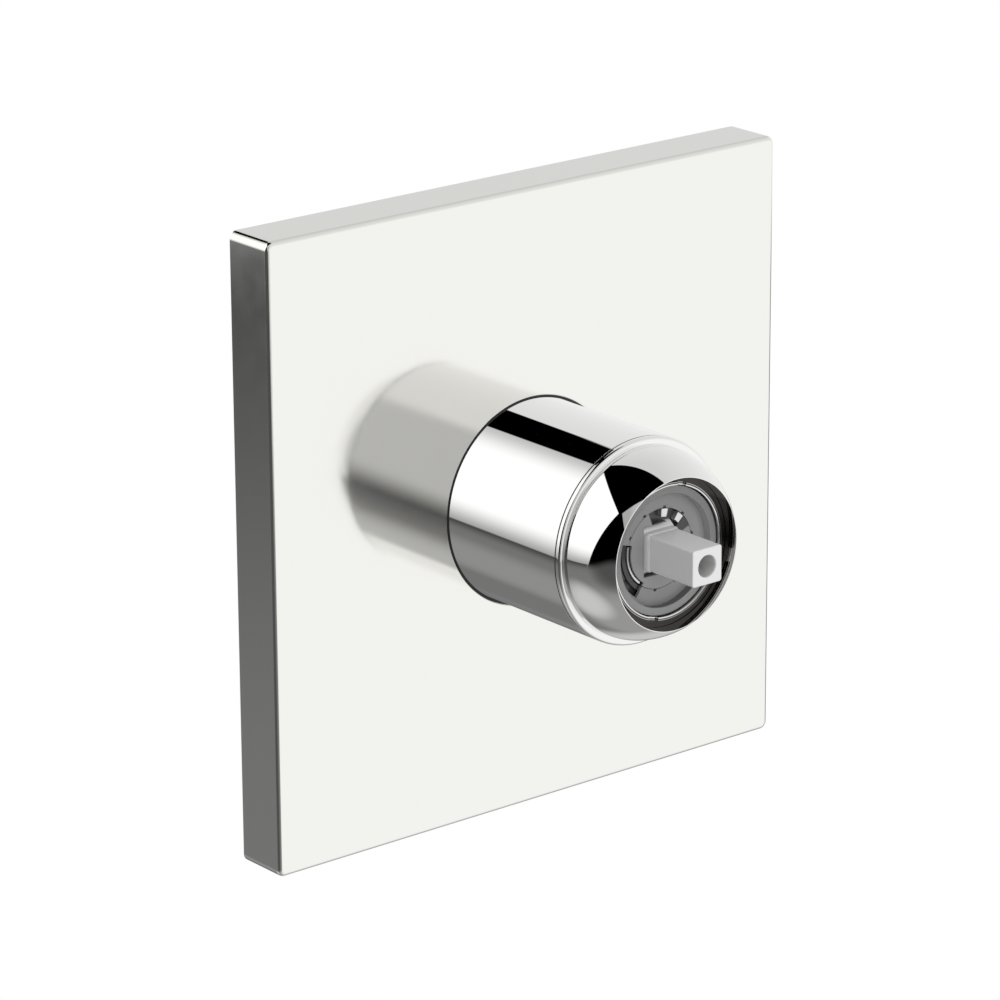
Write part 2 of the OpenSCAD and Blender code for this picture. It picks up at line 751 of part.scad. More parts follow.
module spindle() {
    color([0.93, 0.93, 0.94]) stand() difference() {
        union() {
            intersection() {
                translate([0, 0, pivot_z]) sphere(r = hub_r);
                rod(hub_r + cut, pivot_z - hub_low, pivot_z + hub_high);
            }
            translate([0, 0, pivot_z]) linear_extrude(pivot_sink + foot_rise)
                bevelled_square(foot_side, foot_bevel);
            translate([0, 0, pivot_z]) linear_extrude(tip_z - pivot_z)
                bevelled_square(stem_side, stem_bevel);
            rod(shank_r, ball_z, pivot_z);
            translate([0, 0, ball_z]) sphere(r = ball_r);
        }
        translate([0, 0, pivot_z]) rotate([0, 90, 0])
            cylinder(r = pin_r + fix_gap, h = 3 * hub_r, center = true);
        rod(tip_hole_r, tip_z - tip_hole_depth, tip_z + cut);
    }
}

module pivot_pin() {
    color("silver") stand() translate([0, 0, pivot_z]) rotate([0, 90, 0])
        cylinder(r = pin_r, h = 2 * pin_half, center = true);
}

// The slider that the driving ball pushes, with two lugs that grip the ceramic disc
module disc_carrier() {
    color("tan") stand() difference() {
        union() {
            translate([0, 0, carrier_z]) linear_extrude(carrier_t) intersection() {
                circle(r = moving_r - 2 * run_gap);
                square([2 * carrier_half, 2 * moving_r], center = true);
            }
            rod(boss_r, carrier_z, boss_top);
            for (side = [-1, 1]) translate([0, side * grip_mid, carrier_z])
                cube([grip_w, grip_t, grip_h], center = true);
        }
        rod(ball_r + run_gap, carrier_z - cut, boss_top + cut);
    }
}

// The upper ceramic disc, with the mixing pocket in its underside
module moving_disc() {
    grip_room = 4 * run_gap;
    color("ivory") stand() difference() {
        rod(moving_r, moving_z, carrier_z);
        translate([0, 0, moving_z - cut]) linear_extrude(cut + moving_t / 2) union() {
            translate([0, pocket_out_y]) circle(r = pocket_out_r);
            translate([-pocket_mid[0], pocket_mid[1] - pocket_r])
                square([2 * pocket_mid[0], 2 * pocket_r]);
            for (side = [-1, 1]) translate([side * pocket_mid[0], pocket_mid[1]]) circle(r = pocket_r);
        }
        for (side = [-1, 1]) translate([0, side * grip_mid, carrier_z])
            cube([grip_w + grip_room, 2 * (moving_r - grip_mid) + 2 * grip_room, grip_h + grip_room],
                center = true);
    }
}

// The lower ceramic disc, with two inlet slots and one outlet slot
module fixed_disc() {
    color("ivory") stand() difference() {
        rod(fixed_r, fixed_z, moving_z);
        translate([0, 0, fixed_z - cut]) {
            for (angle = [channel_angles[0], channel_angles[1]])
                kidney(slot_mid_r, inlet_slot_w, angle, inlet_slot_half, fixed_t + 2 * cut);
            kidney(slot_mid_r, outlet_slot_w, channel_angles[2], outlet_slot_half, fixed_t + 2 * cut);
        }
        for (side = [-1, 1]) translate([side * fixed_r, 0, fixed_z])
            cube([2 * key_depth, key_w + 2 * run_gap, 3 * fixed_t], center = true);
    }
}

module disc_seals() {
    color([0.12, 0.12, 0.12]) stand() on_each_channel()
        tube(seal_edge_r, seal_port_r, fixed_z - disc_seal_t, fixed_z);
}

// The base that closes the cartridge below, with two pegs that find the body's holes
module cartridge_base() {
    color("dimgray") stand() difference() {
        union() {
            rod(base_r, seat_z, seat_z + base_foot);
            rod(cup_r, seat_z, base_top);
            tube(cup_r, fixed_r + run_gap, base_top - cut, base_top + key_h);
            on_each_peg() rod(peg_r, seat_z - peg_h, seat_z + cut);
            // snap lugs in the shell's windows
            for (side = [-1, 1]) translate([side * shell_in, 0, snap_z])
                cube([2 * snap_reach, snap_w, snap_h], center = true);
            // keys that hold the fixed disc
            for (side = [-1, 1]) translate([side * fixed_r, 0, base_top])
                cube([2 * (key_depth - run_gap), key_w, 2 * key_h], center = true);
        }
        on_each_channel() {
            rod(channel_r, seat_z - cut, base_top + cut);
            rod(seal_edge_r + fix_gap, fixed_z - disc_seal_t, base_top + cut);
            rod(seal_edge_r + fix_gap, seat_z - cut, seat_z + base_seal_t);
        }
    }
}

module base_seals() {
    color([0.12, 0.12, 0.12]) stand() on_each_channel()
        tube(seal_edge_r, seal_port_r, seat_z, seat_z + base_seal_t);
}

escutcheon();
escutcheon_gasket();
sleeve_seal();
sleeve();
sleeve_rings();
trim_ring();
dome_cap();
cartridge_nut();
valve_body();
cartridge_housing();
limit_ring();
turret();
turret_ring();
spindle();
pivot_pin();
disc_carrier();
moving_disc();
fixed_disc();
disc_seals();
cartridge_base();
base_seals();
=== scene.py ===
from functools import reduce
from math import acos, asin, cos, pi, radians, sin, sqrt, tan

import bmesh
import bpy
from mathutils import Matrix, Vector


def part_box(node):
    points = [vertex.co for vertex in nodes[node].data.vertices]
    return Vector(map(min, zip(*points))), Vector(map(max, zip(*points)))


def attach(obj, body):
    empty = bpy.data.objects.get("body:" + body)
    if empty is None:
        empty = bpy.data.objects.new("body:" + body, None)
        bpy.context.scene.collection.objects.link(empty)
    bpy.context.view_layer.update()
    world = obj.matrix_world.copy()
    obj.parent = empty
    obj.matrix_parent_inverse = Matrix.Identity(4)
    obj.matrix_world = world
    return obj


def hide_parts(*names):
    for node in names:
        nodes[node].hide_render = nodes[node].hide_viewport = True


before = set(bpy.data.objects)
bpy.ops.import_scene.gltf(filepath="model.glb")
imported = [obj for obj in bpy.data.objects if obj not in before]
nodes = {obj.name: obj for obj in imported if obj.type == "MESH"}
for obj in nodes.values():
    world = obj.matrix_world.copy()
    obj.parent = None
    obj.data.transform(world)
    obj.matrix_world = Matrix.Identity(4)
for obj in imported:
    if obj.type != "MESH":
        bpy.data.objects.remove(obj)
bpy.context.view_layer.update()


# The camera: a long lens, to the left of the mixer and a little above it, as for the photograph.
# It looks at a point just below the control axis, in the plane of the wall.
def in_scene(name, data):
    """Puts a new object that holds a mesh or a camera into the scene."""
    made = bpy.data.objects.new(name, data)
    bpy.context.scene.collection.objects.link(made)
    return made


camera_azimuth = radians(-39.154)
camera_elevation = radians(18.274)
camera_roll = radians(-0.306)
camera_distance = 1.1494
camera_target = Vector((0.0016, 0, -0.00371))
camera_data = bpy.data.cameras.new("camera")
camera_data.sensor_width = 36
camera_data.lens = 176.2
camera_data.clip_end = 100
camera = in_scene("camera", camera_data)
backwards = Vector((
    sin(camera_azimuth) * cos(camera_elevation),
    -cos(camera_azimuth) * cos(camera_elevation),
    sin(camera_elevation),
))
level_right = Vector((0, 0, 1)).cross(backwards).normalized()
level_up = backwards.cross(level_right)
camera_right = level_right * cos(camera_roll) + level_up * sin(camera_roll)
camera_up = level_up * cos(camera_roll) - level_right * sin(camera_roll)
camera.matrix_world = Matrix.Translation(camera_target + backwards * camera_distance) @ Matrix((
    (camera_right.x, camera_up.x, backwards.x, 0),
    (camera_right.y, camera_up.y, backwards.y, 0),
    (camera_right.z, camera_up.z, backwards.z, 0),
    (0, 0, 0, 1),
))
bpy.context.scene.camera = camera
bpy.context.scene.view_settings.view_transform = "Standard"


# The studio that the chrome mirrors: a white softbox on the left, black flags beside and above it,
# pale walls on the right and in front, and a grey floor with pools of light and shade. All of it is
# painted on the world by direction, with angles in degrees and tones from 0 to 255.
def srgb(level):
    """Turns a tone from 0 to 255 into the brightness that shows as that tone."""
    share = level / 255
    return share / 12.92 if share < 0.04045 else ((share + 0.055) / 1.055) ** 2.4


def feed(tree, value, socket):
    """Links another socket to an input, or sets a number or a colour of three numbers on it."""
    if isinstance(value, bpy.types.NodeSocket):
        tree.links.new(value, socket)
    else:
        socket.default_value = (*value, 1) if socket.type == "RGBA" else value


def calc(tree, operation, *inputs):
    """Adds a Math node fed by sockets or numbers, and gives its output."""
    node = tree.nodes.new("ShaderNodeMath")
    node.operation = operation
    for socket, value in zip(node.inputs, inputs):
        feed(tree, value, socket)
    return node.outputs[0]


def all_of(tree, *shares):
    """How far all of the given shares, from 0 to 1, apply together."""
    return reduce(lambda first, second: calc(tree, "MULTIPLY", first, second), shares)


def any_of(tree, *shares):
    """The largest of the given shares."""
    return reduce(lambda first, second: calc(tree, "MAXIMUM", first, second), shares)


def ramp(tree, value, start, end, low=0.0, high=1.0, kind="SMOOTHSTEP"):
    """Goes from low to high as value goes from start to end, and stays level outside them."""
    node = tree.nodes.new("ShaderNodeMapRange")
    node.interpolation_type = kind
    names = ("Value", "From Min", "From Max", "To Min", "To Max")
    for name, number in zip(names, (value, start, end, low, high)):
        feed(tree, number, node.inputs[name])
    return node.outputs["Result"]


def mix(tree, kind, share, first, second):
    """Mixes two numbers, kind Float, or two colours, kind Color: share 0 gives the first."""
    node = tree.nodes.new("ShaderNodeMix")
    node.data_type = {"Float": "FLOAT", "Color": "RGBA"}[kind]
    sockets = {socket.identifier: socket for socket in (*node.inputs, *node.outputs)}
    feed(tree, share, sockets["Factor_Float"])
    feed(tree, first, sockets["A_" + kind])
    feed(tree, second, sockets["B_" + kind])
    return sockets["Result_" + kind]


def blend(share, below, above):
    """Mixes two brightnesses of the studio: share 0 gives the first and share 1 the second."""
    return mix(sky, "Float", share, below, above)


world = bpy.data.worlds.new("studio")
world.use_nodes = True
world.cycles.sampling_method = "NONE"
bpy.context.scene.world = world
sky = world.node_tree
sky.nodes.clear()
split = sky.nodes.new("ShaderNodeSeparateXYZ")
sky.links.new(sky.nodes.new("ShaderNodeTexCoord").outputs["Generated"], split.inputs[0])
east, north, height = split.outputs
elevation = calc(sky, "DEGREES", calc(sky, "ARCSINE", height))
# bearings count from straight behind the wall, where to the left they are negative; the second
# one runs on from 0 to 360, so that nothing breaks in front of the wall
bearing = calc(sky, "DEGREES", calc(sky, "ARCTAN2", east, north))
bearing_front = calc(sky, "WRAP", bearing, 360, 0)


def along(direction):
    """How far each direction points along the given one, from -1 to 1."""
    parts = [
        calc(sky, "MULTIPLY", axis, number) for axis, number in zip((east, north, height), direction)
    ]
    return calc(sky, "ADD", calc(sky, "ADD", parts[0], parts[1]), parts[2])


def edge(direction, soft=0.6):
    """1 on the side that the direction points to, 0 behind it, with an edge this many degrees wide."""
    half = radians(soft) / 2
    return ramp(sky, along(direction), -half, half)


def pool(at_bearing, at_elevation, inner, outer):
    """1 inside the inner angle round a direction, falling to 0 at the outer one."""
    a, e = radians(at_bearing), radians(at_elevation)
    middle = (sin(a) * cos(e), cos(a) * cos(e), sin(e))
    return ramp(sky, along(middle), cos(radians(outer)), cos(radians(inner)))


# walls: pale on the right, darker towards the left of the front
wall_tone = ramp(sky, elevation, -10, 64, srgb(242), srgb(210), "LINEAR")
left_wall = ramp(sky, bearing_front, 222, 232, srgb(187), srgb(169))
wall_tone = blend(ramp(sky, bearing_front, 184, 197), wall_tone, left_wall)
low_left = all_of(sky, ramp(sky, bearing_front, 190, 220), ramp(sky, elevation, 3, -19))
far_left = all_of(sky, ramp(sky, bearing_front, 232, 242), ramp(sky, elevation, 12, -7))
wall_tone = blend(any_of(sky, low_left, far_left), wall_tone, srgb(76))

# floor: its pools have a bearing, an elevation, an inner and an outer angle, and a tone
floor_tone = ramp(sky, elevation, -13, -26, srgb(108), srgb(119), "LINEAR")
floor_tone = ramp(sky, elevation, -28, -62, floor_tone, srgb(151))
for at_bearing, at_elevation, inner, outer, tone in (
    (14, -41, 10, 32, 117),
    (-117, -14, 12, 36, 78),
    (-25, -38, 2, 17, 143),
    (-58, -54, 4, 25, 198),
    (48, -48, 3, 22, 198),
    (180, -46, 3, 30, 182),
):
    floor_tone = blend(pool(at_bearing, at_elevation, inner, outer), floor_tone, srgb(tone))

# the brightest light falls on floor and wall to the right of the front; floor and wall meet
# between 7 and 18 degrees below eye level
right_front = ramp(sky, bearing_front, 182, 173)
bright_floor = all_of(sky, pool(150, -24, 26, 58), right_front)
bright_corner = all_of(sky, pool(141, -18, 10, 30), right_front)
floor_tone = blend(bright_floor, floor_tone, srgb(236))
horizon = calc(
    sky, "ADD", ramp(sky, bearing, -117, -86, -7, -15), ramp(sky, bearing, -134, -126, -11, 0))
over_horizon = calc(sky, "SUBTRACT", elevation, horizon)
on_wall = ramp(sky, over_horizon, -0.6, 0.6)
room = blend(on_wall, floor_tone, wall_tone)
room = blend(bright_corner, room, srgb(248))

# the straight edges of flags and softbox, each named by the side that its direction points to
right_of_top_flag = (0.899, 0.339, -0.279)
front_of_top_flag = (-0.029, -0.903, -0.43)
left_of_left_flag_edge = (-0.663, 0.711, -0.236)
front_of_softbox = (0.013, -0.94, -0.34)
back_of_softbox_edge = (-0.013, 0.94, 0.34)
back_of_middle_flag_edge = (0.013, 0.94, 0.34)
left_of_softbox_edge = (-0.714, 0.545, -0.439)

# black flags: one above everything, which leaves the front open, one on the left that reaches
# down to the floor, and one between the softbox and the right wall
open_front = all_of(
    sky, ramp(sky, bearing_front, 112, 122), ramp(sky, elevation, 64.5, 63.5),
    ramp(sky, bearing_front, 196, 186))
clear_of_top = any_of(
    sky, edge(right_of_top_flag), edge(front_of_top_flag), open_front, ramp(sky, elevation, 22, 12))
left_flag = all_of(sky, edge(front_of_softbox), edge(left_of_left_flag_edge))
wall_edge = ramp(sky, elevation, 37, 56.5, 24.3, 5.8, "LINEAR")
middle_flag = all_of(
    sky, ramp(sky, calc(sky, "SUBTRACT", wall_edge, bearing), -0.5, 0.5),
    edge(back_of_middle_flag_edge, 0.8))
flagged = all_of(sky, any_of(sky, left_flag, middle_flag), ramp(sky, over_horizon, -7, 4))
room = blend(flagged, room, 0.0)
room = blend(clear_of_top, 0.0, room)

# the softbox: it fades towards its right edge and towards its lower one
softbox = all_of(
    sky, edge(left_of_softbox_edge), edge(back_of_softbox_edge),
    ramp(sky, bearing, -0.4, -1.6), on_wall)
softbox_light = all_of(
    sky, ramp(sky, bearing, -26, 0, 1.07, 0.54), ramp(sky, elevation, -19, 3, 0.28, 1))
room = blend(softbox, room, softbox_light)

# what soft materials see instead: even light, with more of it from the front and some from above
light_all_round = 0.1
light_from_front = 1.1
light_from_above = 0.45
front = calc(sky, "MAXIMUM", calc(sky, "MULTIPLY", north, -1.0), 0.0)
top = calc(sky, "MAXIMUM", height, 0.0)
soft_room = calc(sky, "ADD", calc(sky, "MULTIPLY", front, light_from_front), light_all_round)
soft_room = calc(sky, "ADD", soft_room, calc(sky, "MULTIPLY", top, light_from_above))
rays = sky.nodes.new("ShaderNodeLightPath")
seen = blend(rays.outputs["Is Glossy Ray"], soft_room, room)
seen = blend(rays.outputs["Is Camera Ray"], seen, 1.0)
background = sky.nodes.new("ShaderNodeBackground")
sky.links.new(seen, background.inputs["Color"])
sky.links.new(background.outputs[0], sky.nodes.new("ShaderNodeOutputWorld").inputs["Surface"])


# Escutcheon: a brass plate cast hollow behind, with a collar round the sleeve, then ground and
# chromed. It is pushed over the sleeve and held by its seal, so its face has no screws.
mm = 0.001


def ring_points(outline_half, corner):
    """Points round a square with round corners, anticlockwise seen from the front."""
    per_side = points_round // 4
    at_corner = per_side // 3
    on_flat = per_side - at_corner
    flat = outline_half - corner
    points = []
    for quarter in range(4):
        turn = quarter * pi / 2
        corner_turns = [step * pi / 2 / at_corner for step in range(at_corner + 1)]
        corner_points = [(flat + corner * cos(a), flat + corner * sin(a)) for a in corner_turns]
        side_points = [
            (flat - 2 * flat * step / on_flat, outline_half) for step in range(1, on_flat)
        ]
        for u, v in corner_points + side_points:
            points.append((u * cos(turn) - v * sin(turn), u * sin(turn) + v * cos(turn)))
    return points


def skinned(name, rows):
    """A piece with a closed skin: each row of points closes on itself and joins the next one."""
    mesh = bpy.data.meshes.new(name)
    shape = bmesh.new()
    rows = [[shape.verts.new(point) for point in row] for row in rows]
    for row, next_row in zip(rows, rows[1:] + rows[:1]):
        for i in range(len(row)):
            j = (i + 1) % len(row)
            shape.faces.new((row[i], row[j], next_row[j], next_row[i]))
    bmesh.ops.recalc_face_normals(shape, faces=shape.faces)
    shape.to_mesh(mesh)
    shape.free()
    return in_scene(name, mesh)


def lofted(name, rings):
    """Joins rings of (x, z) points, each with its distance out of the wall, into one skin."""
    return skinned(name, [[(x * mm, -out * mm, z * mm) for x, z in ring] for ring, out in rings])


def bake_modifiers(piece):
    """Turns what the modifiers make into the piece's own mesh."""
    evaluated = piece.evaluated_get(bpy.context.evaluated_depsgraph_get())
    made = bpy.data.meshes.new_from_object(evaluated)
    piece.modifiers.clear()
    piece.data = made


def crisp(piece):
    """Shades a piece smooth between its edges, with its flat faces kept flat."""
    piece.data.shade_smooth()
    piece.data.set_sharp_from_angle(angle=radians(30))
    weighted = piece.modifiers.new("weighted", "WEIGHTED_NORMAL")
    weighted.keep_sharp = True
    bake_modifiers(piece)


def bore_of(node):
    """The smallest distance of a node's points from the control axis, in mm."""
    return min(sqrt(v.co.x ** 2 + v.co.z ** 2) for v in nodes[node].data.vertices) / mm


def new_material(name):
    """A material with a Principled shader, and its node tree."""
    made = bpy.data.materials.new(name)
    made.use_nodes = True
    return made, made.node_tree, made.node_tree.nodes["Principled BSDF"]


def speckle(tree, scale, detail=3.0):
    """Noise fixed to the piece, from 0 to 1; scale is in grains per metre."""
    noise = tree.nodes.new("ShaderNodeTexNoise")
    noise.inputs["Scale"].default_value = scale
    noise.inputs["Detail"].default_value = detail
    tree.links.new(tree.nodes.new("ShaderNodeTexCoord").outputs["Object"], noise.inputs["Vector"])
    return noise.outputs["Fac"]


def colour(tree, shader, share, first, second):
    """Colours a surface between two tones, each a socket or three numbers."""
    tree.links.new(mix(tree, "Color", share, first, second), shader.inputs["Base Color"])


def shine(tree, shader, noise, low, high):
    """Lets the roughness wander between two values with a noise, most of which is 0.3 to 0.7."""
    tree.links.new(ramp(tree, noise, 0.3, 0.7, low, high), shader.inputs["Roughness"])


def relief(tree, shader, pattern, depth, distance=0.0002, edge_round=0.0):
    """Lets a pattern stand in relief on the surface, and can round its edges by the given mm."""
    bump = tree.nodes.new("ShaderNodeBump")
    bump.inputs["Strength"].default_value = depth
    bump.inputs["Distance"].default_value = distance
    tree.links.new(pattern, bump.inputs["Height"])
    if edge_round:
        rounded = tree.nodes.new("ShaderNodeBevel")
        rounded.samples = 6
        rounded.inputs["Radius"].default_value = edge_round * mm
        tree.links.new(rounded.outputs[0], bump.inputs["Normal"])
    tree.links.new(bump.outputs[0], shader.inputs["Normal"])


def polished_chrome(name, shine_low, shine_high, tone=(0.965, 0.962, 0.95)):
    """Bright chrome over nickel: almost neutral, with faint clouds left by the polishing wheel."""
    made, tree, shader = new_material(name)
    dimmer = tuple(c * 0.992 for c in tone)
    colour(tree, shader, speckle(tree, 45), dimmer, tone)
    shader.inputs["Metallic"].default_value = 1
    shine(tree, shader, speckle(tree, 160), shine_low, shine_high)
    return made


low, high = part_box("escutcheon")
plate_half = high.x / mm
plate_front = -low.y / mm
corner_r = 2
edge_r = 1.2
edge_steps = 8
back_round = 0.15
plate_wall = 2.4
plate_face = 2.6
inner_corner = 1
lip_hole_r = 25.22
seal_seat_r = 26.2
seat_back = 9.7
seat_front = 12.7
sleeve_hole_r = bore_of("escutcheon")
collar_r = 29.55
collar_back = 2
points_round = 288


def plate_ring(inset):
    """The plate's outline, drawn in by the given amount."""
    return ring_points(plate_half - inset, corner_r - inset)


def round_ring(radius):
    """A circle whose points lie in line with those of the face's rim."""
    return [
        (radius * x / sqrt(x * x + z * z), radius * z / sqrt(x * x + z * z))
        for x, z in plate_ring(edge_r)
    ]


rings = [
    (plate_ring(back_round), 0),
    (plate_ring(0), back_round),
    (plate_ring(0), plate_front - edge_r),
]
for step in range(1, edge_steps + 1):
    turn = radians(90 * step / edge_steps)
    rings.append((plate_ring(edge_r * (1 - cos(turn))), plate_front - edge_r * (1 - sin(turn))))
hollow_half = plate_half - plate_wall
hollow_out = plate_front - plate_face
rings += [
    (round_ring(lip_hole_r + back_round), plate_front),
    (round_ring(lip_hole_r), plate_front - back_round),
    (round_ring(lip_hole_r), seat_front),
    (round_ring(seal_seat_r), seat_front),
    (round_ring(seal_seat_r), seat_back),
    (round_ring(sleeve_hole_r), seat_back),
    (round_ring(sleeve_hole_r), collar_back),
    (round_ring(collar_r), collar_back),
    (round_ring(collar_r), hollow_out),
    (ring_points(hollow_half, inner_corner), hollow_out),
    (ring_points(hollow_half, inner_corner), back_round),
    (ring_points(hollow_half + back_round, inner_corner + back_round), 0),
]
escutcheon = lofted("escutcheon_shell", rings)
crisp(escutcheon)

# a thin film of dust dulls the side that looks up
chrome_plate = polished_chrome("chrome_plate", 0.075, 0.095, (0.955, 0.951, 0.914))
tree = chrome_plate.node_tree
shader = tree.nodes["Principled BSDF"]
facing = tree.nodes.new("ShaderNodeSeparateXYZ")
tree.links.new(tree.nodes.new("ShaderNodeNewGeometry").outputs["Normal"], facing.inputs[0])
clean_tone = shader.inputs["Base Color"].links[0].from_socket
dusty_tone = (0.77, 0.767, 0.741)
colour(tree, shader, ramp(tree, facing.outputs["Z"], 0.75, 0.97), clean_tone, dusty_tone)

# behind the face, eight cast ribs run from the collar to the wall of the gasket's channel
channel_half = 68.6
channel_t = 1.4
channel_inner = channel_half - channel_t
channel_back = 0.75
channel_corner = 1
root_sunk = 0.2
root_out = hollow_out + root_sunk
rib_count = 8
rib_start = 28.5
rib_back = 4.5
rib_t = 1.6
channel_wall = lofted("gasket_channel_wall", [
    (ring_points(channel_half, channel_corner), channel_back + back_round),
    (ring_points(channel_half, channel_corner), root_out),
    (ring_points(channel_inner, channel_corner), root_out),
    (ring_points(channel_inner, channel_corner), channel_back + back_round),
    (ring_points(channel_inner + back_round, channel_corner), channel_back),
    (ring_points(channel_half - back_round, channel_corner), channel_back),
])
crisp(channel_wall)


def node_tree(name, sizes, counts):
    """An empty Geometry Nodes tree with named inputs for sizes in metres and for counts."""
    tree = bpy.data.node_groups.new(name, "GeometryNodeTree")
    add = tree.interface.new_socket
    add("Geometry", in_out="OUTPUT", socket_type="NodeSocketGeometry")
    for label, value in sizes.items():
        add(label, in_out="INPUT", socket_type="NodeSocketFloat").default_value = value
    for label, value in counts.items():
        add(label, in_out="INPUT", socket_type="NodeSocketInt").default_value = value
    inputs = tree.nodes.new("NodeGroupInput").outputs
    return tree, inputs, tree.nodes.new("NodeGroupOutput").inputs


def add_node(tree, kind, values):
    """Adds a node, and feeds its inputs by name with sockets or values."""
    node = tree.nodes.new(kind)
    for name, value in values.items():
        feed(tree, value, node.inputs[name])
    return node


def grown(name, tree, values, finish):
    """Runs a tree with the given values, and keeps the result as a plain mesh piece."""
    piece = in_scene(name, bpy.data.meshes.new(name))
    modifier = piece.modifiers.new(name, "NODES")
    modifier.node_group = tree
    for item in tree.interface.items_tree:
        if item.in_out == "INPUT" and item.name in values:
            modifier[item.identifier] = values[item.name]
    piece.data.materials.append(finish)
    bake_modifiers(piece)
    return piece


def round_the_axis(tree, made, count, turn_by):
    """Repeats what is made round the control axis, turned by an angle, as real geometry."""
    line = add_node(tree, "GeometryNodeMeshLine", {"Count": count, "Offset": (0, 0, 0)})
    spot = tree.nodes.new("GeometryNodeInputIndex").outputs[0]
    full = calc(tree, "DIVIDE", 2 * pi, count)
    angle = calc(tree, "ADD", calc(tree, "MULTIPLY", spot, full), turn_by)
    turned_by = add_node(tree, "ShaderNodeCombineXYZ", {"Y": calc(tree, "MULTIPLY", angle, -1.0)})
    copies = add_node(tree, "GeometryNodeInstanceOnPoints", {
        "Points": line.outputs["Mesh"], "Instance": made, "Rotation": turned_by.outputs[0]})
    return add_node(tree, "GeometryNodeRealizeInstances", {"Geometry": copies.outputs[0]}).outputs[0]


# the ribs point between the middles and the corners of the square, where it is further to go
half_turn = pi / rib_count
tree, given, taken = node_tree("ribs_round_collar", {
    "From": rib_start * mm, "To": channel_half * mm, "Thickness": rib_t * mm,
    "Back": rib_back * mm, "Front": root_out * mm, "Turn": half_turn,
}, {"Ribs": rib_count})
reach = calc(tree, "DIVIDE", given["To"], cos(half_turn))
length = calc(tree, "SUBTRACT", reach, given["From"])
tall = calc(tree, "SUBTRACT", given["Front"], given["Back"])
size = add_node(tree, "ShaderNodeCombineXYZ", {"X": length, "Y": tall, "Z": given["Thickness"]})
bar = add_node(tree, "GeometryNodeMeshCube", {"Size": size.outputs[0]}).outputs["Mesh"]
middle = calc(tree, "MULTIPLY_ADD", length, 0.5, given["From"])
depth = calc(tree, "MULTIPLY", calc(tree, "MULTIPLY_ADD", tall, 0.5, given["Back"]), -1.0)
place = add_node(tree, "ShaderNodeCombineXYZ", {"X": middle, "Y": depth}).outputs[0]
bar = add_node(tree, "GeometryNodeTransform", {"Geometry": bar, "Translation": place}).outputs[0]
ribs = round_the_axis(tree, bar, given["Ribs"], given["Turn"])
finished = add_node(tree, "GeometryNodeSetMaterial", {"Geometry": ribs, "Material": chrome_plate})
tree.links.new(finished.outputs[0], taken[0])
rib_piece = grown("escutcheon_ribs", tree, {"Ribs": rib_count}, chrome_plate)
crisp(rib_piece)
escutcheon.data.materials.append(chrome_plate)
channel_wall.data.materials.append(chrome_plate)
for part in (escutcheon, channel_wall, rib_piece):
    part.visible_glossy = False
    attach(part, "mixer")
    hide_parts("escutcheon")


# Gasket: a strip of closed-cell foam in the channel behind the plate. It keeps water from running
# behind the tiles, and it is pressed flat against the wall.
def dress(node, finish):
    """Gives a node of the frame its finish."""
    mesh = nodes[node].data
    mesh.materials.clear()
    mesh.materials.append(finish)


foam, tree, shader = new_material("gasket_foam")
cells = speckle(tree, 2600, 2)
colour(tree, shader, cells, (0.03, 0.03, 0.032), (0.07, 0.07, 0.072))
shader.inputs["Roughness"].default_value = 0.95
relief(tree, shader, cells, 0.6)
dress("escutcheon_gasket", foam)
nodes["escutcheon_gasket"].visible_glossy = False


# Seal: a lip moulded of black rubber, seated in a groove of the plate, that fills the gap to the
# sleeve. Its round front edge stands a little in front of the plate.
def rounded_outline(corners, steps=6):
    """A closed outline of (radius, out, rounding) corners with each corner rounded.
    Gives (radius, out, normal's radius part, normal's out part) for each point."""
    count = len(corners)
    area = sum(
        corners[i][0] * corners[(i + 1) % count][1] - corners[(i + 1) % count][0] * corners[i][1]
        for i in range(count)
    )
    side = 1 if area > 0 else -1
    outline = []
    for i, (radius, out, rounding) in enumerate(corners):
        here = Vector((radius, out))
        before = (Vector(corners[i - 1][:2]) - here).normalized()
        after = (Vector(corners[(i + 1) % count][:2]) - here).normalized()
        half = before.angle(after) / 2
        start = here + before * rounding / tan(half)
        end = here + after * rounding / tan(half)
        middle = here + (before + after).normalized() * rounding / sin(half)
        convex = side * (before.x * after.y - before.y * after.x) < 0
        first = (start - middle).normalized()
        last = (end - middle).normalized()
        sweep = first.angle(last)
        for step in range(steps + 1):
            share = step / steps
            arm = (first * sin((1 - share) * sweep) + last * sin(share * sweep)) / sin(sweep)
            point = middle + arm * rounding
            normal = arm if convex else -arm
            outline.append((point.x, point.y, normal.x, normal.y))
    return outline


def turned(name, outline, segments=240):
    """Turns a closed outline round the control axis, with its true normals."""
    rows = []
    normals = []
    for step in range(segments):
        turn = 2 * pi * step / segments
        rows.append([])
        for radius, out, normal_r, normal_out in outline:
            rows[-1].append((radius * mm * cos(turn), -out * mm, radius * mm * sin(turn)))
            normals.append((normal_r * cos(turn), -normal_out, normal_r * sin(turn)))
    piece = skinned(name, rows)
    piece.data.shade_smooth()
    piece.data.normals_split_custom_set_from_vertices(normals)
    return piece


def extent(node):
    """A round node's radius and its two ends, measured out of the wall, in mm."""
    low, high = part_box(node)
    return high.x / mm, -high.y / mm, -low.y / mm


black_rubber, tree, shader = new_material("black_rubber")
grain = speckle(tree, 3000)
colour(tree, shader, grain, (0.006, 0.006, 0.006), (0.014, 0.014, 0.014))
shine(tree, shader, grain, 0.42, 0.55)
relief(tree, shader, grain, 0.15, 0.00005)

